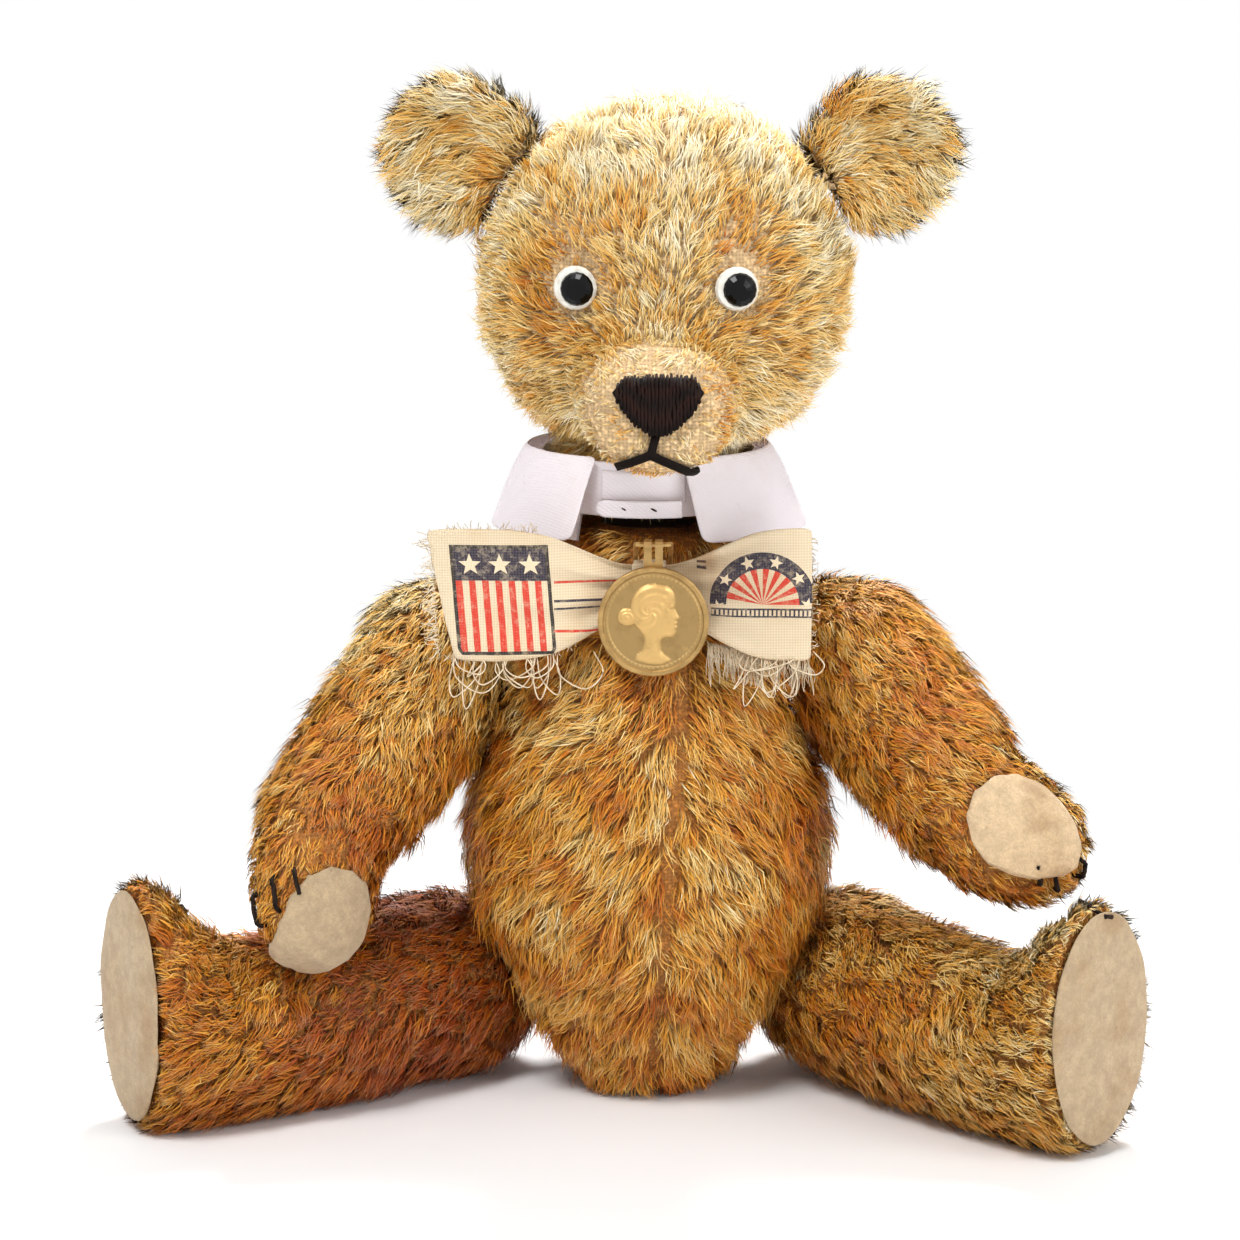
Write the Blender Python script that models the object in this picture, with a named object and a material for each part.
"""A seated, disc-jointed teddy bear with a shirt collar, a pinched bow and a hanging medallion.

The bear faces -Y with +Z up, and X runs to the right as it is seen from the front.
The frame's origin is the middle of the small flat it sits on.
Head, arms and legs each turn on a pair of hardboard discs drawn together by a split pin.
"""

import math

import bmesh
import bpy
import numpy as np
from mathutils import Matrix, Vector

MM = 0.001

# Clearances
CLOTH_GAP = 0.3 * MM
FACE_GAP = 0.4 * MM
STACK_GAP = 0.2 * MM
TRIM_GAP = 0.15 * MM

# Torso
TORSO_HEIGHT = 166 * MM
TORSO_WIDTH = 104 * MM
TORSO_FRONT = 48 * MM
TORSO_BACK = 44 * MM

# Head
HEAD_HALF_WIDTH = 52 * MM
HEAD_HALF_DEPTH = 48 * MM
HEAD_HALF_HEIGHT = 51 * MM
HEAD_RISE = 66 * MM
HEAD_ASIDE = 4.5 * MM
NECK_RADIUS = 24 * MM
MUZZLE_LENGTH = 36 * MM
MUZZLE_HALF_WIDTH = 24 * MM
MUZZLE_HALF_HEIGHT = 19 * MM
MUZZLE_DROP = 27 * MM
MUZZLE_ASIDE = 2 * MM
NOSE_RISE = 3.6 * MM
NOSE_WIDTH = 24 * MM
NOSE_HEIGHT = 14.5 * MM
NOSE_THICKNESS = 1.8 * MM
MOUTH_STROKE = 2 * MM
MOUTH_THICKNESS = 0.9 * MM
EAR_HALF_WIDTH = 19.5 * MM
EAR_HALF_HEIGHT = 21 * MM
EAR_THICKNESS = 12 * MM
EAR_DISTANCE = {"left": 66 * MM, "right": 68.5 * MM}
EAR_LEAN = {"left": math.radians(58), "right": math.radians(59)}
EYE_RADIUS = 6 * MM
EYE_THICKNESS = 1.6 * MM
EYE_SPACING = 43.5 * MM
EYE_RISE = 2.7 * MM
EYE_ASIDE = 1.7 * MM
PUPIL_RADIUS = 4.6 * MM
SHANK_RADIUS = 0.9 * MM
SHANK_LENGTH = 7 * MM

# Arms
SHOULDER_HEIGHT = 121 * MM
SHOULDER_SEAT_DEPTH = 3.2 * MM
SHOULDER_UPWARD = math.radians(8)
SHOULDER_BACKWARD = math.radians(5)
SHOULDER_BALL = 24 * MM
WRIST_RADIUS = 20 * MM
PAW_HALF_WIDTH = 20 * MM
PAW_HALF_THICKNESS = 15 * MM
HAND_PAD_LENGTH = 33 * MM
HAND_PAD_WIDTH = 27 * MM
HAND_PAD_TAPER = 0.2

# Legs
HIP_SEAT_DEPTH = 3.5 * MM
HIP_DOWNWARD = math.radians(27)
HIP_BACKWARD = math.radians(14)
THIGH_RADIUS = 26 * MM
LEG_LENGTH = 109 * MM
FOOT_HALF_HEIGHT = 36.5 * MM
FOOT_HALF_WIDTH = 23 * MM
LEG_SPLAY = {"left": math.radians(54), "right": math.radians(38)}
LEG_BOW = 4 * MM
FLOOR_GAP = 0.2 * MM

# Felt
PAD_THICKNESS = 1.2 * MM

# Disc joints
COVER_THICKNESS = 1.5 * MM
DISC_RADIUS = 13 * MM
DISC_THICKNESS = 2.5 * MM
WASHER_RADIUS = 7 * MM
WASHER_THICKNESS = 1 * MM
PIN_WIRE_RADIUS = 0.8 * MM
PIN_EYE_RADIUS = 2.6 * MM
PIN_CURL_RADIUS = 2.4 * MM
PIN_PLAY = 0.35 * MM
POCKET_PLAY = 0.6 * MM
SEAT_MARGIN = 3 * MM

# Collar
COLLAR_BAND_RADIUS = 29.5 * MM
COLLAR_BAND_HEIGHT = 17 * MM
COLLAR_CLOTH = 0.9 * MM
LEAF_TOP_RADIUS = 33.5 * MM
LEAF_HEM_HALF_WIDTH = 44 * MM
LEAF_HEM_HALF_DEPTH = 38 * MM
LEAF_DROP = 23 * MM
LEAF_CLEAR_OF_HEAD = 1.5 * MM
LEAF_OPENING_LEFT = math.radians(25)
LEAF_OPENING_RIGHT = math.radians(15)
LEAF_SPREAD = math.radians(4)

# Bow
BOW_REACH_LEFT = 57.5 * MM
BOW_REACH_RIGHT = 44.5 * MM
BOW_END_HEIGHT = 37 * MM
BOW_PINCH_HEIGHT = 15 * MM
BOW_CLOTH = 1.4 * MM
BOW_PLEAT = 2.2 * MM
BOW_DROP = 15.5 * MM
WRAP_WIDTH = 9 * MM
WRAP_CLOTH = 0.9 * MM

# Medallion
COIN_RADIUS = 15.2 * MM
COIN_THICKNESS = 2.2 * MM
COIN_RIM_WIDTH = 1.3 * MM
COIN_FIELD_DEPTH = 0.35 * MM
BAIL_HEIGHT = 6 * MM
BAIL_LAP = 3 * MM
BAIL_WIDTH = 5.2 * MM
BAIL_SLOT = 0.9 * MM
BAIL_STRIP_THICKNESS = 0.6 * MM
HOOK_WIRE_RADIUS = 0.7 * MM
HOOK_SPAN = 9.6 * MM
HOOK_ASIDE = 1.1 * MM
HOOK_RISE = 14.5 * MM
HOOK_STAND_OFF = 3 * MM

# Rows of height, half width, front depth and back depth, as shares of the torso's four sizes
TORSO_OUTLINE = (
    (0.00, 0.30, 0.33, 0.36),
    (0.02, 0.40, 0.44, 0.50),
    (0.06, 0.48, 0.54, 0.62),
    (0.12, 0.62, 0.69, 0.78),
    (0.19, 0.75, 0.81, 0.89),
    (0.27, 0.87, 0.92, 0.97),
    (0.36, 0.97, 0.98, 1.00),
    (0.45, 1.00, 1.00, 1.00),
    (0.54, 0.96, 0.96, 0.98),
    (0.64, 0.89, 0.90, 0.97),
    (0.73, 0.82, 0.83, 0.95),
    (0.81, 0.72, 0.735, 0.89),
    (0.88, 0.645, 0.665, 0.80),
    (0.94, 0.57, 0.595, 0.69),
    (0.98, 0.515, 0.54, 0.59),
    (1.00, 0.45, 0.47, 0.50),
)
# Places along the muzzle with its half width, half height and lift, as shares of its sizes
MUZZLE_OUTLINE = (
    (-0.60, 0.82, 0.62, 0.34),
    (0.00, 0.96, 0.80, 0.21),
    (0.32, 0.98, 0.94, 0.07),
    (0.62, 0.92, 0.93, 0.00),
    (0.83, 0.80, 0.81, -0.02),
    (0.95, 0.64, 0.65, -0.02),
    (1.00, 0.42, 0.43, -0.02),
)
# Places along a leg with its half width and half height, as shares of leg length, thigh and foot
LEG_OUTLINE = (
    (-0.235, 0.20, 0.20),
    (-0.20, 0.52, 0.52),
    (-0.12, 0.83, 0.83),
    (0.00, 1.00, 1.00),
    (0.18, 1.02, 1.01),
    (0.38, 1.00, 0.99),
    (0.56, 0.93, 0.95),
)
FOOT_OUTLINE = (
    (0.74, 0.97, 0.69),
    (0.83, 1.00, 0.78),
    (0.90, 1.01, 0.90),
    (0.96, 1.00, 0.99),
    (0.99, 0.96, 0.98),
    (1.00, 0.90, 0.92),
)

# Each arm runs from the shoulder by the wrist to the paw, which lies on the leg
ARM_POSE = {
    "left": {
        "wrist": Vector((-90, -34, 82)) * MM,
        "paw": Vector((-93, -45, 69)) * MM,
        "tip": Vector((-94, -53, 58.5)) * MM,
        "palm": Vector((0.2, -0.8, -0.5)),
    },
    "right": {
        "wrist": Vector((90, -31, 88)) * MM,
        "paw": Vector((101, -38, 81)) * MM,
        "tip": Vector((112, -41, 76.5)) * MM,
        "palm": Vector((-0.1, -0.85, 0.5)),
    },
}

SIDES_AND_SIGNS = (("left", -1), ("right", 1))


def clear_scene():
    for obj in list(bpy.data.objects):
        bpy.data.objects.remove(obj, do_unlink=True)


def material(name, colour, roughness, metallic=0.0):
    made = bpy.data.materials.new(name)
    made.use_nodes = True
    shader = made.node_tree.nodes["Principled BSDF"]
    shader.inputs["Base Color"].default_value = (*colour, 1)
    shader.inputs["Roughness"].default_value = roughness
    shader.inputs["Metallic"].default_value = metallic
    return made


def place(obj, parent):
    """Hangs an object under a parent without moving it."""
    bpy.context.view_layer.update()
    obj.parent = parent
    obj.matrix_parent_inverse = parent.matrix_world.inverted()


def empty(name, matrix, parent=None):
    made = bpy.data.objects.new(name, None)
    made.empty_display_size = 10 * MM
    bpy.context.scene.collection.objects.link(made)
    made.matrix_world = matrix
    if parent:
        place(made, parent)
    return made


def finish_mesh(name, bm, finish, parent=None):
    """Turns a bmesh into a smooth-shaded object with its faces pointing out."""
    bmesh.ops.recalc_face_normals(bm, faces=bm.faces)
    mesh = bpy.data.meshes.new(name)
    bm.to_mesh(mesh)
    bm.free()
    mesh.shade_smooth()
    mesh.set_sharp_from_angle(angle=math.radians(40))
    obj = bpy.data.objects.new(name, mesh)
    bpy.context.scene.collection.objects.link(obj)
    if finish:
        mesh.materials.append(finish)
    if parent:
        place(obj, parent)
    return obj


def helper(obj):
    """Marks a cutter, which shapes other pieces and is no piece itself."""
    obj.hide_render = True
    obj.display_type = "WIRE"
    return obj


def shape_by(obj, other, operation):
    change = obj.modifiers.new(operation.title(), "BOOLEAN")
    change.object = other
    change.operation = operation
    change.solver = "EXACT"


def cut(obj, *cutters):
    for cutter in cutters:
        shape_by(obj, cutter, "DIFFERENCE")


def loft_mesh(rings):
    """A closed skin of triangles over rings of equally many points, with a flat cap on each end."""
    bm = bmesh.new()
    loops = [[bm.verts.new(point) for point in ring] for ring in rings]
    count = len(loops[0])
    for lower, upper in zip(loops, loops[1:]):
        for i in range(count):
            j = (i + 1) % count
            bm.faces.new((lower[i], lower[j], upper[j]))
            bm.faces.new((lower[i], upper[j], upper[i]))
    bm.faces.new(loops[0][::-1])
    bm.faces.new(loops[-1])
    return bm


def oval(centre, across, up, half_across, half_up, count):
    ring = []
    for i in range(count):
        angle = 2 * math.pi * i / count
        ring.append(centre + across * (half_across * math.cos(angle)) + up * (half_up * math.sin(angle)))
    return ring


def turned(name, profile, segments, matrix, finish=None, ring=False, parent=None):
    """Revolves rows of radius and height about the matrix's Z axis, as a ring where the profile closes."""
    bm = bmesh.new()
    loops = []
    for radius, height in profile:
        if radius == 0:
            loops.append([bm.verts.new((0, 0, height))] * segments)
            continue
        circle = oval(Vector((0, 0, height)), Vector((1, 0, 0)), Vector((0, 1, 0)), radius, radius, segments)
        loops.append([bm.verts.new(point) for point in circle])
    pairs = list(zip(loops, loops[1:]))
    if ring:
        pairs.append((loops[-1], loops[0]))
    for lower, upper in pairs:
        for i in range(segments):
            j = (i + 1) % segments
            corners = dict.fromkeys((lower[i], lower[j], upper[j], upper[i]))
            bm.faces.new(tuple(corners))
    bmesh.ops.transform(bm, matrix=matrix, verts=bm.verts)
    return finish_mesh(name, bm, finish, parent)


def wire(name, points, radius, finish, parent, matrix=None):
    """A round wire along a line of points, with closed ends."""
    curve = bpy.data.curves.new(name, "CURVE")
    curve.dimensions = "3D"
    curve.bevel_depth = radius
    curve.bevel_resolution = 1
    curve.use_fill_caps = True
    spline = curve.splines.new("POLY")
    spline.points.add(len(points) - 1)
    turn = matrix or Matrix.Identity(4)
    for knot, point in zip(spline.points, points):
        knot.co = (*(turn @ Vector(point)), 1)
    curve.materials.append(finish)
    obj = bpy.data.objects.new(name, curve)
    bpy.context.scene.collection.objects.link(obj)
    place(obj, parent)
    return obj


def arc_points(centre, radius, start, end, count, across, up):
    """Points on an arc, from one angle to another, in the plane of two directions."""
    found = []
    for i in range(count):
        angle = start + (end - start) * i / (count - 1)
        found.append(centre + across * (radius * math.cos(angle)) + up * (radius * math.sin(angle)))
    return found


def prism(name, outline, matrix, near, far):
    """A cutter that carries an outline in the matrix's XY plane from one height to another."""
    rings = []
    for height in (near, far):
        rings.append([matrix @ Vector((x, y, height)) for x, y in outline])
    return helper(finish_mesh(name, loft_mesh(rings), None))


def frame_of(origin, z_axis, x_hint):
    """A placing matrix with its Z along one direction and its X as near as can be to another."""
    z_axis = Vector(z_axis).normalized()
    x_axis = (Vector(x_hint) - z_axis * z_axis.dot(Vector(x_hint))).normalized()
    y_axis = z_axis.cross(x_axis)
    turn = Matrix((x_axis, y_axis, z_axis)).transposed().to_4x4()
    return Matrix.Translation(origin) @ turn


# Torso
def torso_rows():
    rows = []
    for height, wide, front, back in TORSO_OUTLINE:
        rows.append((height * TORSO_HEIGHT, wide * TORSO_WIDTH / 2, front * TORSO_FRONT, back * TORSO_BACK))
    return rows


def torso_size_at(height):
    """Half width, front depth and back depth of the torso at a height."""
    rows = np.array(torso_rows())
    return [float(np.interp(height, rows[:, 0], rows[:, k])) for k in (1, 2, 3)]


def torso_ring(height, half_width, front, back, count=26):
    ring = []
    for i in range(count):
        angle = 2 * math.pi * i / count
        depth = front if math.sin(angle) < 0 else back
        ring.append(Vector((half_width * math.cos(angle), depth * math.sin(angle), height)))
    return ring


def build_torso(finish, parent):
    rings = [torso_ring(*row) for row in torso_rows()]
    return finish_mesh("torso", loft_mesh(rings), finish, parent)


# Disc joints
def pocket_radius():
    return DISC_RADIUS + POCKET_PLAY


def pin_leg_offset():
    return PIN_WIRE_RADIUS + STACK_GAP / 2


def pin_hole_radius():
    return pin_leg_offset() + PIN_WIRE_RADIUS + PIN_PLAY


def stack_heights():
    """Where cover, disc, washer and pin bear on one another, measured from the middle of the joint."""
    cover = FACE_GAP / 2 + COVER_THICKNESS
    disc_low = cover + STACK_GAP
    disc_top = disc_low + DISC_THICKNESS
    washer_low = disc_top + STACK_GAP
    washer_top = washer_low + WASHER_THICKNESS
    return cover, disc_low, disc_top, washer_low, washer_top


def pocket_cutter(name, matrix, depth, side):
    """The hole for the pin and the pocket for the disc behind it, on one side of a joint."""
    cover = stack_heights()[0]
    profile = (
        (0, -side * COVER_THICKNESS),
        (pin_hole_radius(), -side * COVER_THICKNESS),
        (pin_hole_radius(), side * cover),
        (pocket_radius(), side * cover),
        (pocket_radius(), side * depth),
        (0, side * depth),
    )
    return helper(turned(name, profile, 20, matrix))


def washer_like(name, radius, low, top, matrix, segments, finish, parent):
    hole = pin_hole_radius()
    profile = ((hole, low), (radius, low), (radius, top), (hole, top))
    return turned(name, profile, segments, matrix, finish, ring=True, parent=parent)


def split_pin_points():
    """One wire from a curled end, up a leg, round the eye, down the other leg to its curled end."""
    across = Vector((1, 0, 0))
    up = Vector((0, 0, 1))
    leg = pin_leg_offset()
    washer_top = stack_heights()[4]
    bottom = -(washer_top + STACK_GAP + PIN_WIRE_RADIUS / 2)
    curl_centre = across * (leg + PIN_CURL_RADIUS) + up * bottom
    curl = arc_points(curl_centre, PIN_CURL_RADIUS, math.radians(-10), math.radians(-180), 6, across, up)
    eye_start = math.asin(leg / PIN_EYE_RADIUS) - math.pi / 2
    eye_height = washer_top + STACK_GAP + PIN_WIRE_RADIUS + PIN_EYE_RADIUS
    eye_end = math.pi - eye_start
    eye = arc_points(up * eye_height, PIN_EYE_RADIUS, eye_start, eye_end, 11, across, up)
    mirrored = [Vector((-point.x, 0, point.z)) for point in reversed(curl)]
    return curl + eye + mirrored


def disc_joint(name, limb, matrix, finishes, body_parent, limb_parent):
    """Two discs, two washers and a split pin on the matrix's Z axis, which points into the limb."""
    cover, disc_low, disc_top, washer_low, washer_top = stack_heights()
    for side, owner, parent in ((-1, "body", body_parent), (1, limb, limb_parent)):
        label = f"{name}_{owner}"
        low, top = side * disc_low, side * disc_top
        washer_like(f"{label}_disc", DISC_RADIUS, low, top, matrix, 20, finishes["hardboard"], parent)
        low, top = side * washer_low, side * washer_top
        washer_like(f"{label}_washer", WASHER_RADIUS, low, top, matrix, 12, finishes["steel"], parent)
    wire(f"{name}_pin", split_pin_points(), PIN_WIRE_RADIUS, finishes["steel"], body_parent, matrix)
    body_depth = washer_top + 2 * STACK_GAP + 2 * PIN_WIRE_RADIUS + PIN_CURL_RADIUS
    limb_depth = washer_top + 3 * STACK_GAP + 2 * PIN_WIRE_RADIUS + 2 * PIN_EYE_RADIUS + PIN_WIRE_RADIUS
    body_cutter = pocket_cutter(f"{name}_body_pocket", matrix, body_depth, -1)
    limb_cutter = pocket_cutter(f"{name}_limb_pocket", matrix, limb_depth, 1)
    return body_cutter, limb_cutter


def seat_cutter(name, matrix, radius):
    """Flattens the torso where a limb bears on it."""
    low = -FACE_GAP / 2
    profile = ((0, low), (radius, low), (radius, 2 * radius), (0, 2 * radius))
    return helper(turned(name, profile, 28, matrix))


def keep_beyond(obj, point, direction):
    """Cuts a soft piece flat at a plane and keeps what lies in the plane's direction."""
    bm = bmesh.new()
    bm.from_mesh(obj.data)
    geometry = bm.verts[:] + bm.edges[:] + bm.faces[:]
    made = bmesh.ops.bisect_plane(bm, geom=geometry, plane_co=point, plane_no=direction, clear_inner=True)
    edges = [part for part in made["geom_cut"] if isinstance(part, bmesh.types.BMEdge)]
    bmesh.ops.contextual_create(bm, geom=edges)
    bmesh.ops.recalc_face_normals(bm, faces=bm.faces)
    bm.to_mesh(obj.data)
    bm.free()


# Limbs
def limb_rings(rows, up_hint, count=20, grow=0.0, upright=False):
    """Rings across a limb's path. Each row holds a centre, a half width and a half height."""
    centres = [Vector(row[:3]) for row in rows]
    rings = []
    for i, row in enumerate(rows):
        ahead = centres[min(i + 1, len(rows) - 1)]
        behind = centres[max(i - 1, 0)]
        along = (ahead - behind).normalized()
        if upright:
            along = (along - up_hint * along.dot(up_hint)).normalized()
        across = along.cross(up_hint).normalized()
        up = across.cross(along)
        centre = centres[i]
        if grow and i in (0, len(rows) - 1):
            centre = centre + along * (grow if i else -grow)
        rings.append(oval(centre, across, up, row[3] + grow, row[4] + grow, count))
    return rings


def shoulder_frame(sign):
    level = math.cos(SHOULDER_UPWARD)
    side = Vector((sign * math.cos(SHOULDER_BACKWARD), math.sin(SHOULDER_BACKWARD), 0))
    axis = side * level + Vector((0, 0, math.sin(SHOULDER_UPWARD)))
    half_width = torso_size_at(SHOULDER_HEIGHT)[0]
    origin = Vector((sign * (half_width - SHOULDER_SEAT_DEPTH), 0, SHOULDER_HEIGHT))
    return frame_of(origin, axis, (0, 0, -1))


def hip_frame(sign):
    flat = math.cos(HIP_DOWNWARD)
    side = Vector((sign * math.cos(HIP_BACKWARD), math.sin(HIP_BACKWARD), 0))
    axis = side * flat - Vector((0, 0, math.sin(HIP_DOWNWARD)))
    ball_out = thigh_ball_offset()
    height = THIGH_RADIUS + FLOOR_GAP + ball_out * math.sin(HIP_DOWNWARD)
    half_width = torso_size_at(height)[0]
    origin = side * (half_width - HIP_SEAT_DEPTH) + Vector((0, 0, height))
    return frame_of(origin, axis, (0, -1, 0))


def ball_offset(radius):
    """How far a limb's round end stands off the joint, so that its flat covers the disc."""
    seat = pocket_radius() + COVER_THICKNESS
    return math.sqrt(radius**2 - seat**2)


def thigh_ball_offset():
    return ball_offset(THIGH_RADIUS)


def leg_rows(side, sign):
    frame = hip_frame(sign)
    ball = frame.translation + frame.col[2].xyz * thigh_ball_offset()
    splay = LEG_SPLAY[side]
    along = Vector((sign * math.sin(splay), -math.cos(splay), 0))
    rows = []
    forward = Vector((sign * -math.cos(splay), -math.sin(splay), 0))
    for place_along, wide, high in LEG_OUTLINE:
        bow = LEG_BOW * math.sin(math.pi * max(0.0, place_along))
        point = ball + along * (place_along * LEG_LENGTH) + forward * bow
        rise = max(high * THIGH_RADIUS, THIGH_RADIUS if place_along < 0 else 0)
        rows.append((point.x, point.y, rise + FLOOR_GAP, wide * THIGH_RADIUS, high * THIGH_RADIUS))
    for place_along, wide, high in FOOT_OUTLINE:
        bow = LEG_BOW * math.sin(math.pi * place_along)
        point = ball + along * (place_along * LEG_LENGTH) + forward * bow
        half_high = high * FOOT_HALF_HEIGHT
        rise = half_high if place_along < 0.97 else FOOT_HALF_HEIGHT
        rows.append((point.x, point.y, rise + FLOOR_GAP, wide * FOOT_HALF_WIDTH, half_high))
    return rows


def build_leg(side, sign, finish, parent):
    rows = leg_rows(side, sign)
    bm = loft_mesh(limb_rings(rows, Vector((0, 0, 1)), upright=True))
    obj = finish_mesh(f"leg_{side}", bm, finish, parent)
    frame = hip_frame(sign)
    axis = frame.col[2].xyz
    keep_beyond(obj, frame.translation + axis * (FACE_GAP / 2), axis)
    return obj


def build_foot_pad(side, sign, finish, parent):
    rows = leg_rows(side, sign)
    half_wide, half_high = rows[-1][3:]
    sole = Vector(rows[-1][:3])
    along = (sole - Vector(rows[-2][:3])).normalized()
    across = along.cross(Vector((0, 0, 1)))
    up = Vector((0, 0, 1))
    rings = []
    for out, share in ((0, 0.97), (0.6, 0.99), (1, 0.93), (1.6, 0.55)):
        centre = sole + along * (CLOTH_GAP + out * PAD_THICKNESS)
        rings.append(oval(centre, across, up, half_wide * share, half_high * share, 20))
    return finish_mesh(f"foot_pad_{side}", loft_mesh(rings), finish, parent)


def arm_rows(side, sign):
    frame = shoulder_frame(sign)
    ball = frame.translation + frame.col[2].xyz * ball_offset(SHOULDER_BALL)
    pose = ARM_POSE[side]
    forearm = pose["wrist"] - ball
    along = forearm.normalized()
    reach = (pose["tip"] - pose["paw"]).normalized()
    rows = []
    for back, share in ((0.96, 0.22), (0.84, 0.52), (0.5, 0.85)):
        point = ball - along * (back * SHOULDER_BALL)
        rows.append((*point, share * SHOULDER_BALL, share * SHOULDER_BALL))
    for share in (0, 0.25, 0.5, 0.75, 1):
        point = ball + forearm * share
        radius = SHOULDER_BALL + (WRIST_RADIUS - SHOULDER_BALL) * share**1.5
        rows.append((*point, radius, radius))
    rows.append((*pose["paw"], PAW_HALF_WIDTH, PAW_HALF_THICKNESS))
    for ahead, wide, thick in ((0, 0.82, 0.8), (0.35, 0.6, 0.58), (0.55, 0.33, 0.32)):
        point = pose["tip"] + reach * (ahead * PAW_HALF_THICKNESS)
        rows.append((*point, wide * PAW_HALF_WIDTH, thick * PAW_HALF_THICKNESS))
    return rows, pose["palm"].normalized()


def build_arm(side, sign, finish, parent):
    rows, palm = arm_rows(side, sign)
    obj = finish_mesh(f"arm_{side}", loft_mesh(limb_rings(rows, palm)), finish, parent)
    frame = shoulder_frame(sign)
    axis = frame.col[2].xyz
    keep_beyond(obj, frame.translation + axis * (FACE_GAP / 2), axis)
    return obj


def skin_patch(name, outline, matrix, rings_with, thickness, reach, finish, parent):
    """A thin piece that follows the skin under it, within an outline seen along the matrix's Z."""
    obj = finish_mesh(name, loft_mesh(rings_with(CLOTH_GAP + thickness)), finish, parent)
    keeper = prism(f"{name}_outline", outline, matrix, 0, reach)
    under = helper(finish_mesh(f"{name}_under", loft_mesh(rings_with(CLOTH_GAP)), None))
    shape_by(obj, keeper, "INTERSECT")
    cut(obj, under)
    return obj


def build_hand_pad(side, sign, finish, parent):
    rows, palm = arm_rows(side, sign)
    pose = ARM_POSE[side]
    middle = (pose["wrist"] + pose["paw"] * 2 + pose["tip"] * 3) / 6
    along = pose["tip"] - pose["wrist"]
    matrix = frame_of(middle, palm, along)
    half_length, half_width = HAND_PAD_LENGTH / 2, HAND_PAD_WIDTH / 2
    outline = []
    for i in range(14):
        angle = 2 * math.pi * i / 14
        wide = half_width * (1 - HAND_PAD_TAPER * math.cos(angle))
        outline.append((half_length * math.cos(angle), wide * math.sin(angle)))

    def rings_with(grow):
        return limb_rings(rows, palm, grow=grow)

    reach = 3 * PAW_HALF_THICKNESS
    return skin_patch(f"hand_pad_{side}", outline, matrix, rings_with, PAD_THICKNESS, reach, finish, parent)


# Head
def head_centre():
    return Vector((HEAD_ASIDE, 0, TORSO_HEIGHT + HEAD_RISE))


def head_core_rings(grow=0.0, count=26, levels=14):
    rings = []
    for level in range(levels):
        polar = math.pi * (level + 0.4) / (levels - 0.2)
        flat = math.sin(polar)
        centre = head_centre() - Vector((0, 0, (HEAD_HALF_HEIGHT + grow) * math.cos(polar)))
        half_width = (HEAD_HALF_WIDTH + grow) * flat
        half_depth = (HEAD_HALF_DEPTH + grow) * flat
        rings.append(oval(centre, Vector((1, 0, 0)), Vector((0, 1, 0)), half_width, half_depth, count))
    return rings


def muzzle_rings(grow=0.0, count=20):
    """The muzzle droops a little, and is pinched in where it meets the head above the collar."""
    rows = []
    for out, wide, high, lift in MUZZLE_OUTLINE:
        y = -HEAD_HALF_DEPTH - out * MUZZLE_LENGTH
        z = head_centre().z - MUZZLE_DROP + lift * MUZZLE_HALF_HEIGHT
        rows.append((MUZZLE_ASIDE, y, z, wide * MUZZLE_HALF_WIDTH, high * MUZZLE_HALF_HEIGHT))
    return limb_rings(rows, Vector((0, 0, 1)), count, grow, upright=True)


def build_head(finish, parent):
    obj = finish_mesh("head", loft_mesh(head_core_rings()), finish, parent)
    muzzle = helper(finish_mesh("head_muzzle", loft_mesh(muzzle_rings()), None))
    low = TORSO_HEIGHT + FACE_GAP / 2
    high = head_centre().z - HEAD_HALF_HEIGHT / 2
    profile = ((0, low), (NECK_RADIUS, low), (NECK_RADIUS, high), (0, high))
    neck = helper(turned("head_neck", profile, 28, Matrix.Translation((0, 0, 0))))
    shape_by(obj, muzzle, "UNION")
    shape_by(obj, neck, "UNION")
    return obj


def ear_frame(side, sign):
    lean = EAR_LEAN[side]
    away = EAR_DISTANCE[side]
    outward = Vector((sign * math.sin(lean), 0, math.cos(lean)))
    origin = head_centre() + outward * away
    return frame_of(origin, (0, -1, 0), outward)


def build_ear(side, sign, finish, parent):
    """A cupped round ear whose foot is cut to the head."""
    matrix = ear_frame(side, sign)
    half = EAR_THICKNESS / 2
    back = ((0, -half), (0.5, -0.9 * half), (0.85, -0.55 * half))
    rim = ((1, 0), (0.93, 0.55 * half), (0.8, 0.62 * half))
    cup = ((0.55, 0.2 * half), (0.25, -0.05 * half), (0, -0.12 * half))
    profile = [(radius * EAR_HALF_HEIGHT, height) for radius, height in back + rim + cup]
    squeeze = Matrix.Diagonal((1, EAR_HALF_WIDTH / EAR_HALF_HEIGHT, 1, 1))
    obj = turned(f"ear_{side}", profile, 22, matrix @ squeeze, finish, parent=parent)
    head = helper(finish_mesh(f"ear_{side}_foot", loft_mesh(head_core_rings(CLOTH_GAP)), None))
    cut(obj, head)
    return obj


def eye_frame(sign):
    """A frame on the face with Z pointing out of the eye."""
    x = sign * EYE_SPACING / 2 + EYE_ASIDE - HEAD_ASIDE
    share = 1 - (x / HEAD_HALF_WIDTH) ** 2 - (EYE_RISE / HEAD_HALF_HEIGHT) ** 2
    point = Vector((x, -HEAD_HALF_DEPTH * math.sqrt(share), EYE_RISE))
    outward = Vector((x / HEAD_HALF_WIDTH**2, point.y / HEAD_HALF_DEPTH**2, EYE_RISE / HEAD_HALF_HEIGHT**2))
    outward = (outward.normalized() + Vector((0, -1.2, 0))).normalized()
    return frame_of(head_centre() + point, outward, (1, 0, 0))


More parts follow.
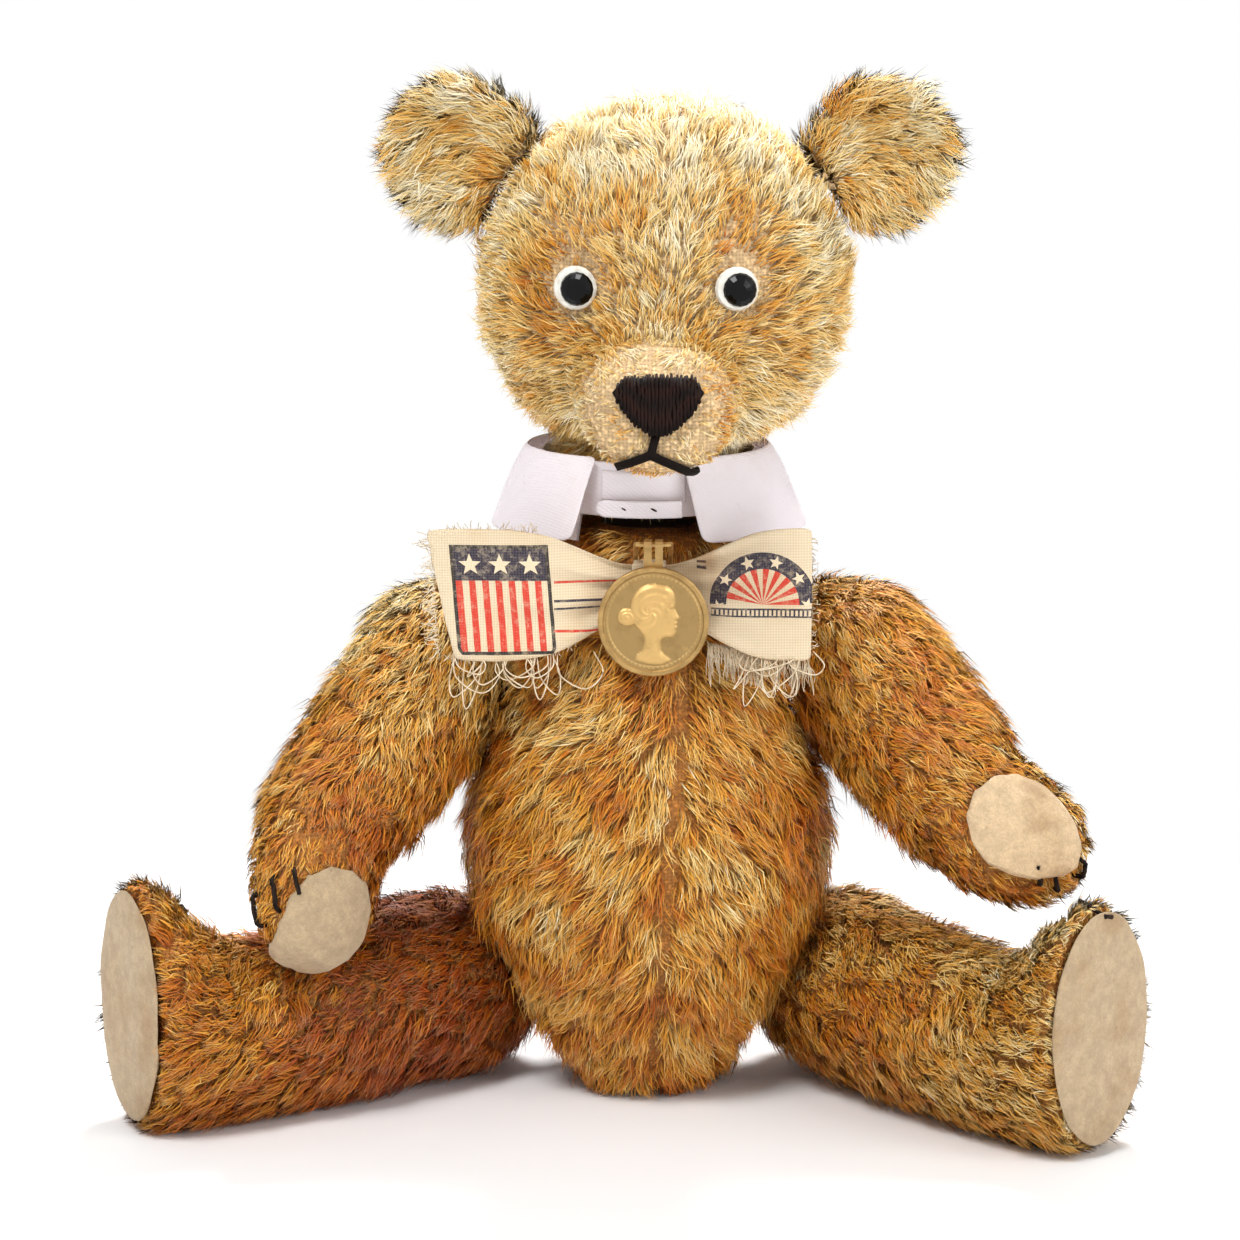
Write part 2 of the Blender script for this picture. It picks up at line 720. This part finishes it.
def build_eye(side, sign, finishes, head, parent):
    """A white button with a shank in the head, and a black dome on its face."""
    matrix = eye_frame(sign)
    low = -0.4 * EYE_THICKNESS
    top = low + EYE_THICKNESS
    button = (
        (0, low - SHANK_LENGTH),
        (SHANK_RADIUS, low - SHANK_LENGTH),
        (SHANK_RADIUS, low),
        (EYE_RADIUS - 0.4 * EYE_THICKNESS, low),
        (EYE_RADIUS, low + 0.45 * EYE_THICKNESS),
        (EYE_RADIUS - 0.35 * EYE_THICKNESS, top),
        (0, top),
    )
    turned(f"eye_button_{side}", button, 18, matrix, finishes["eye_white"], parent=parent)
    aside = EYE_RADIUS - PUPIL_RADIUS - 0.35 * EYE_THICKNESS
    centre = matrix @ Matrix.Translation((0.8 * aside, -0.3 * aside, top + TRIM_GAP))
    height = 0.45 * PUPIL_RADIUS
    dome = [(0, 0)]
    for angle in (0, 25, 50, 72):
        turn = math.radians(angle)
        dome.append((PUPIL_RADIUS * math.cos(turn), height * math.sin(turn)))
    dome.append((0, height))
    turned(f"eye_pupil_{side}", dome, 16, centre, finishes["eye_black"], parent=parent)
    socket = (
        (0, low - SHANK_LENGTH - CLOTH_GAP),
        (SHANK_RADIUS + CLOTH_GAP, low - SHANK_LENGTH - CLOTH_GAP),
        (SHANK_RADIUS + CLOTH_GAP, low - CLOTH_GAP),
        (EYE_RADIUS + CLOTH_GAP, low - CLOTH_GAP),
        (EYE_RADIUS + CLOTH_GAP, top + 2 * EYE_THICKNESS),
        (0, top + 2 * EYE_THICKNESS),
    )
    cut(head, helper(turned(f"eye_socket_{side}", socket, 18, matrix)))


def face_frame(drop):
    """A frame in front of the muzzle with X to the right, Y up and Z towards the viewer."""
    tip = -HEAD_HALF_DEPTH - MUZZLE_LENGTH / 2
    return frame_of(Vector((MUZZLE_ASIDE, tip, head_centre().z - drop)), (0, -1, 0), (1, 0, 0))


def build_nose(finish, parent):
    half = NOSE_WIDTH / 2
    top = NOSE_HEIGHT * 0.5
    outline = [
        (-half, top * 0.45),
        (-half * 0.75, top * 0.95),
        (0, top),
        (half * 0.75, top * 0.95),
        (half, top * 0.45),
        (half * 0.62, -top * 0.5),
        (half * 0.2, -top),
        (-half * 0.2, -top),
        (-half * 0.62, -top * 0.5),
    ]
    matrix = face_frame(MUZZLE_DROP - NOSE_RISE)
    reach = MUZZLE_LENGTH
    return skin_patch("nose", outline, matrix, muzzle_rings, NOSE_THICKNESS, reach, finish, parent)


def stroke(points, width):
    """The outline of one thread laid along a line of points."""
    points = [Vector((*point, 0)) for point in points]
    left, right = [], []
    for i, point in enumerate(points):
        ahead = points[min(i + 1, len(points) - 1)]
        behind = points[max(i - 1, 0)]
        along = (ahead - behind).normalized()
        aside = Vector((-along.y, along.x, 0)) * (width / 2)
        left.append(point + aside)
        right.append(point - aside)
    return [(point.x, point.y) for point in left + right[::-1]]


def build_mouth(finish, parent):
    """Three sewn strokes: one down from the nose, and one to each side."""
    matrix = face_frame(MUZZLE_DROP)
    reach = MUZZLE_LENGTH
    below_nose = NOSE_HEIGHT / 2 - NOSE_RISE + CLOTH_GAP
    fork = Vector((-2, -9)) * MM
    strokes = {
        "mouth_centre": [(-0.6 * MM, -below_nose - 0.2 * MM), (fork.x, fork.y - MOUTH_STROKE / 2)],
        "mouth_left": [(fork.x + MOUTH_STROKE / 2, fork.y), (-6.5 * MM, -11.5 * MM), (-11 * MM, -13.5 * MM)],
        "mouth_right": [(fork.x - MOUTH_STROKE / 2, fork.y), (5 * MM, -13 * MM), (10.5 * MM, -16.5 * MM)],
    }
    keepers = []
    for name, points in strokes.items():
        keepers.append(prism(f"{name}_outline", stroke(points, MOUTH_STROKE), matrix, 0, reach))
    keeper = keepers[0]
    for other in keepers[1:]:
        shape_by(keeper, other, "UNION")
    obj = finish_mesh("mouth", loft_mesh(muzzle_rings(CLOTH_GAP + MOUTH_THICKNESS)), finish, parent)
    under = helper(finish_mesh("mouth_under", loft_mesh(muzzle_rings(CLOTH_GAP)), None))
    shape_by(obj, keeper, "INTERSECT")
    cut(obj, under)
    return obj


# Collar
def collar_top():
    """The fold of the collar stops just under the head, which passes over it as it turns."""
    nearest = COLLAR_BAND_RADIUS + COLLAR_CLOTH + CLOTH_GAP - HEAD_ASIDE
    chin = math.sqrt(1 - (nearest / HEAD_HALF_WIDTH) ** 2) * HEAD_HALF_HEIGHT
    return head_centre().z - chin - LEAF_CLEAR_OF_HEAD


def sheet_ring_mesh(rows, steps, thickness):
    """A curved strip of cloth. Each row gives angle limits, radii and a height, from its top to its hem."""
    bm = bmesh.new()
    grids = []
    for offset in (0, thickness):
        grid = []
        for start, end, half_width, half_depth, height in rows:
            line = []
            for i in range(steps + 1):
                angle = start + (end - start) * i / steps
                x = (half_width + offset) * math.sin(angle)
                y = -(half_depth + offset) * math.cos(angle)
                line.append(bm.verts.new((x, y, height)))
            grid.append(line)
        grids.append(grid)
    inner, outer = grids
    border = []
    for row in range(len(rows) - 1):
        for i in range(steps):
            a, b = inner[row][i], inner[row][i + 1]
            c, d = inner[row + 1][i + 1], inner[row + 1][i]
            bm.faces.new((a, b, c, d))
            a, b = outer[row][i], outer[row][i + 1]
            c, d = outer[row + 1][i + 1], outer[row + 1][i]
            bm.faces.new((d, c, b, a))
    for row in (0, len(rows) - 1):
        border += [(row, i, row, i + 1) for i in range(steps)]
    for i in (0, steps):
        border += [(row, i, row + 1, i) for row in range(len(rows) - 1)]
    for row_a, i, row_b, j in border:
        bm.faces.new((inner[row_a][i], inner[row_b][j], outer[row_b][j], outer[row_a][i]))
    return bm


def build_collar(finish, parent):
    top = collar_top()
    turn = 2 * math.pi
    band_low = TORSO_HEIGHT - 0.3 * COLLAR_BAND_HEIGHT
    half_width, front, back = torso_size_at(band_low)
    snug = half_width + CLOTH_GAP
    deep = max(front, back) + CLOTH_GAP
    lap = math.radians(3)
    band = (
        (lap, turn - lap, COLLAR_BAND_RADIUS, COLLAR_BAND_RADIUS, top - COLLAR_CLOTH),
        (lap, turn - lap, snug, deep, band_low),
    )
    finish_mesh("collar_band", sheet_ring_mesh(band, 30, COLLAR_CLOTH), finish, parent)
    hem = top - LEAF_DROP
    inner_top = COLLAR_BAND_RADIUS + COLLAR_CLOTH + CLOTH_GAP
    rows = []
    for share in (0, 0.12, 0.4, 0.7, 1):
        spread = LEAF_SPREAD * share
        wide = LEAF_TOP_RADIUS + (LEAF_HEM_HALF_WIDTH - LEAF_TOP_RADIUS) * share**0.8
        deep = inner_top + (LEAF_HEM_HALF_DEPTH - inner_top) * share**1.2
        wide = max(wide, inner_top)
        height = top + (hem - top) * share
        rows.append((LEAF_OPENING_RIGHT + spread, turn - LEAF_OPENING_LEFT - spread, wide, deep, height))
    finish_mesh("collar_leaf", sheet_ring_mesh(rows, 30, COLLAR_CLOTH), finish, parent)


# Bow
def bow_height():
    return TORSO_HEIGHT - BOW_DROP


def wrap_back():
    """The wrap bears on the chest at the bow's height."""
    height = bow_height() - BOW_PINCH_HEIGHT / 2 - WRAP_CLOTH
    return -torso_size_at(height)[1] - CLOTH_GAP


def pinch_middle():
    return wrap_back() - WRAP_CLOTH - CLOTH_GAP - BOW_PLEAT - BOW_CLOTH / 2


def build_bow(finish, parent):
    """A strip of cloth gathered at its middle, with pleats that die out towards its ends."""
    across = 13
    stations = []
    for reach, sign in ((BOW_REACH_LEFT, -1), (BOW_REACH_RIGHT, 1)):
        for share in (1, 0.85, 0.65, 0.45, 0.28, 0.15, 0.0):
            stations.append((sign * share * reach, share))
        stations.append((sign * (WRAP_WIDTH / 2 + CLOTH_GAP), 0.1))
    stations = sorted(set(stations))
    front = LEAF_HEM_HALF_DEPTH + COLLAR_CLOTH + BOW_PLEAT + BOW_CLOTH
    rings = []
    for x, share in stations:
        opened = min(1.0, max(0.0, (abs(x) - WRAP_WIDTH / 2 - CLOTH_GAP) / (0.5 * BOW_REACH_LEFT)))
        eased = opened * opened * (3 - 2 * opened)
        half = BOW_PINCH_HEIGHT / 2 + (BOW_END_HEIGHT - BOW_PINCH_HEIGHT) / 2 * eased
        middle = pinch_middle() + (-front - pinch_middle()) * min(1.0, 1.6 * eased)
        pleat = BOW_PLEAT * (1 - 0.8 * eased)
        slant = 2 * MM * share if x < 0 else 0
        face, back = [], []
        for i in range(across):
            t = i / (across - 1)
            y = middle + pleat * math.sin(3 * 2 * math.pi * t)
            z = bow_height() + half * (1 - 2 * t)
            lean = slant * (1 - 2 * t) if x < 0 else 0
            face.append(Vector((x - 2 * lean * share, y - BOW_CLOTH / 2, z)))
            back.append(Vector((x - 2 * lean * share, y + BOW_CLOTH / 2, z)))
        rings.append(face + back[::-1])
    finish_mesh("bow", loft_mesh(rings), finish, parent)
    half_high = BOW_PINCH_HEIGHT / 2 + CLOTH_GAP
    half_deep = BOW_PLEAT + BOW_CLOTH / 2 + CLOTH_GAP
    rings = []
    for side in (-1, 1):
        for grow in (WRAP_CLOTH, 0) if side < 0 else (0, WRAP_CLOTH):
            ring = []
            for i in range(24):
                angle = 2 * math.pi * i / 24
                y, z = math.cos(angle), math.sin(angle)
                stretch = (abs(y) ** 12 + abs(z) ** 12) ** (-1 / 12)
                y = pinch_middle() + y * stretch * (half_deep + grow)
                z = bow_height() + z * stretch * (half_high + grow)
                ring.append(Vector((side * WRAP_WIDTH / 2, y, z)))
            rings.append(ring)
    bm = bmesh.new()
    loops = [[bm.verts.new(point) for point in ring] for ring in rings]
    for lower, upper in zip(loops, loops[1:] + loops[:1]):
        for i in range(24):
            j = (i + 1) % 24
            bm.faces.new((lower[i], lower[j], upper[j], upper[i]))
    finish_mesh("bow_wrap", bm, finish, parent)
    return front


# Medallion
def hook_pin_points(seat):
    """A staple: out of the chest over the wrap, across in front of it, and back into the chest."""
    half = HOOK_SPAN / 2
    entry = wrap_back() + 12 * MM
    top = bow_height() + BOW_PINCH_HEIGHT / 2 + CLOTH_GAP + WRAP_CLOTH + HOOK_WIRE_RADIUS + CLOTH_GAP
    side = [
        Vector((-half, entry, top - 8 * MM)),
        Vector((-half, wrap_back() + 2 * MM, top - 5.2 * MM)),
        Vector((-half, wrap_back() - 0.2 * MM, top + 0.1 * MM)),
        Vector((-half, wrap_back() - 8 * MM, top + 1.6 * MM)),
        Vector((-half, seat.y + 1.2 * MM, seat.z - 0.1 * MM)),
        Vector((-half + 0.4 * MM, seat.y + 0.35 * MM, seat.z)),
        Vector((-half + 1.3 * MM, seat.y, seat.z)),
    ]
    other = [Vector((-point.x, point.y, point.z)) for point in reversed(side)]
    return [point + Vector((seat.x, 0, 0)) for point in side + other]


def bail_outline():
    """A strip seen from its edge: curled over the wire, then straight down behind the coin."""
    inner = HOOK_WIRE_RADIUS + TRIM_GAP
    outer = inner + BAIL_STRIP_THICKNESS
    turns = [math.radians(angle) for angle in (0, 35, 70, 105, 140, 175, 210)]
    over = [(outer * math.cos(turn), outer * math.sin(turn)) for turn in turns]
    under = [(inner * math.cos(turn), inner * math.sin(turn)) for turn in turns]
    foot = -(BAIL_HEIGHT + BAIL_LAP)
    return [(outer, foot)] + over + under[::-1] + [(inner, foot)]


def build_medallion(finishes, torso, body_parent, swing_parent, seat):
    """A coin with a raised rim, the curled strips it hangs by, and the staple that carries it."""
    coin_middle = HOOK_WIRE_RADIUS - COIN_THICKNESS / 2
    centre = seat + Vector((0, coin_middle, -BAIL_HEIGHT - COIN_RADIUS))
    matrix = frame_of(centre, (0, -1, 0), (1, 0, 0))
    half = COIN_THICKNESS / 2
    inner = COIN_RADIUS - COIN_RIM_WIDTH
    field = half - COIN_FIELD_DEPTH
    bevel = 0.3 * MM
    profile = (
        (0, -field),
        (inner - bevel, -field),
        (inner, -half),
        (COIN_RADIUS - bevel, -half),
        (COIN_RADIUS, -half + bevel),
        (COIN_RADIUS, half - bevel),
        (COIN_RADIUS - bevel, half),
        (inner, half),
        (inner - bevel, field),
        (0, field),
    )
    turned("medallion", profile, 32, matrix, finishes["coin"], parent=swing_parent)
    rings = []
    for side in (-1, 1):
        x = seat.x + side * BAIL_WIDTH / 2
        rings.append([Vector((x, seat.y + y, seat.z + z)) for y, z in bail_outline()])
    bail = finish_mesh("medallion_bail", loft_mesh(rings), finishes["brass"], swing_parent)
    slot = BAIL_SLOT / 2
    low = -BAIL_HEIGHT + 1 * MM
    outline = [(-slot, low), (slot, low), (slot, BAIL_HEIGHT), (-slot, BAIL_HEIGHT)]
    cut(bail, prism("medallion_bail_slot", outline, frame_of(seat, (0, -1, 0), (1, 0, 0)), -5 * MM, 5 * MM))
    points = hook_pin_points(seat)
    wire("hook_pin", points, HOOK_WIRE_RADIUS, finishes["steel"], body_parent)
    for label, end, bend in (("left", points[0], points[1]), ("right", points[-1], points[-2])):
        along = bend - end
        inside = end - along.normalized() * CLOTH_GAP
        hole_radius = HOOK_WIRE_RADIUS + CLOTH_GAP
        length = along.length + CLOTH_GAP
        hole = ((0, 0), (hole_radius, 0), (hole_radius, length), (0, length))
        place_in = frame_of(inside, along, (1, 0, 0))
        cut(torso, helper(turned(f"hook_pin_hole_{label}", hole, 10, place_in)))


def build_bear():
    clear_scene()
    finishes = {
        "cinnamon": material("cinnamon_mohair", (0.50, 0.25, 0.06), 0.95),
        "gold": material("pale_gold_mohair", (0.62, 0.45, 0.22), 0.95),
        "felt": material("beige_felt", (0.62, 0.50, 0.36), 0.95),
        "hardboard": material("hardboard", (0.25, 0.16, 0.09), 0.8),
        "steel": material("dull_steel", (0.45, 0.43, 0.40), 0.45, 1.0),
        "brass": material("worn_brass", (0.62, 0.50, 0.30), 0.4, 1.0),
        "coin": material("coin_brass", (0.63, 0.50, 0.24), 0.38, 1.0),
        "eye_white": material("eye_white", (0.85, 0.84, 0.80), 0.25),
        "eye_black": material("eye_black", (0.01, 0.01, 0.012), 0.12),
        "thread": material("dark_thread", (0.025, 0.014, 0.01), 0.7),
        "collar": material("white_cotton", (0.82, 0.80, 0.84), 0.85),
        "bow": material("cream_cloth", (0.78, 0.68, 0.54), 0.9),
    }
    root = empty("bear", Matrix.Identity(4))
    torso = build_torso(finishes["cinnamon"], root)

    neck_frame = frame_of(Vector((0, 0, TORSO_HEIGHT)), (0, 0, 1), (1, 0, 0))
    neck = empty("neck", neck_frame, root)
    head = build_head(finishes["gold"], neck)
    body_cutter, head_cutter = disc_joint("neck", "head", neck_frame, finishes, root, neck)
    trim = finish_top_of_torso()
    cut(torso, trim, body_cutter)
    cut(head, head_cutter)
    for side, sign in SIDES_AND_SIGNS:
        build_ear(side, sign, finishes["gold"], neck)
        build_eye(side, sign, finishes, head, neck)
    build_nose(finishes["thread"], neck)
    build_mouth(finishes["thread"], neck)

    for side, sign in SIDES_AND_SIGNS:
        frame = shoulder_frame(sign)
        joint = empty(f"shoulder_{side}", frame, root)
        arm = build_arm(side, sign, finishes["cinnamon"], joint)
        build_hand_pad(side, sign, finishes["felt"], joint)
        body_cutter, limb_cutter = disc_joint(f"shoulder_{side}", "arm", frame, finishes, root, joint)
        seat = seat_cutter(f"shoulder_{side}_seat", frame, SHOULDER_BALL + SEAT_MARGIN)
        cut(torso, seat, body_cutter)
        cut(arm, limb_cutter)

        frame = hip_frame(sign)
        joint = empty(f"hip_{side}", frame, root)
        leg = build_leg(side, sign, finishes["cinnamon"], joint)
        build_foot_pad(side, sign, finishes["felt"], joint)
        body_cutter, limb_cutter = disc_joint(f"hip_{side}", "leg", frame, finishes, root, joint)
        seat = seat_cutter(f"hip_{side}_seat", frame, THIGH_RADIUS + SEAT_MARGIN)
        cut(torso, seat, body_cutter)
        cut(leg, limb_cutter)

    build_collar(finishes["collar"], root)
    bow_front = build_bow(finishes["bow"], root)
    seat = Vector((HOOK_ASIDE, -(bow_front + HOOK_STAND_OFF), bow_height() + HOOK_RISE))
    medallion = empty("medallion_swing", Matrix.Translation(seat), root)
    build_medallion(finishes, torso, root, medallion, seat)


def finish_top_of_torso():
    """Trims the torso's neck flat, half the running gap below the joint."""
    low = TORSO_HEIGHT - FACE_GAP / 2
    profile = ((0, low), (2 * NECK_RADIUS, low), (2 * NECK_RADIUS, low + NECK_RADIUS), (0, low + NECK_RADIUS))
    return helper(turned("neck_seat", profile, 28, Matrix.Identity(4)))


build_bear()
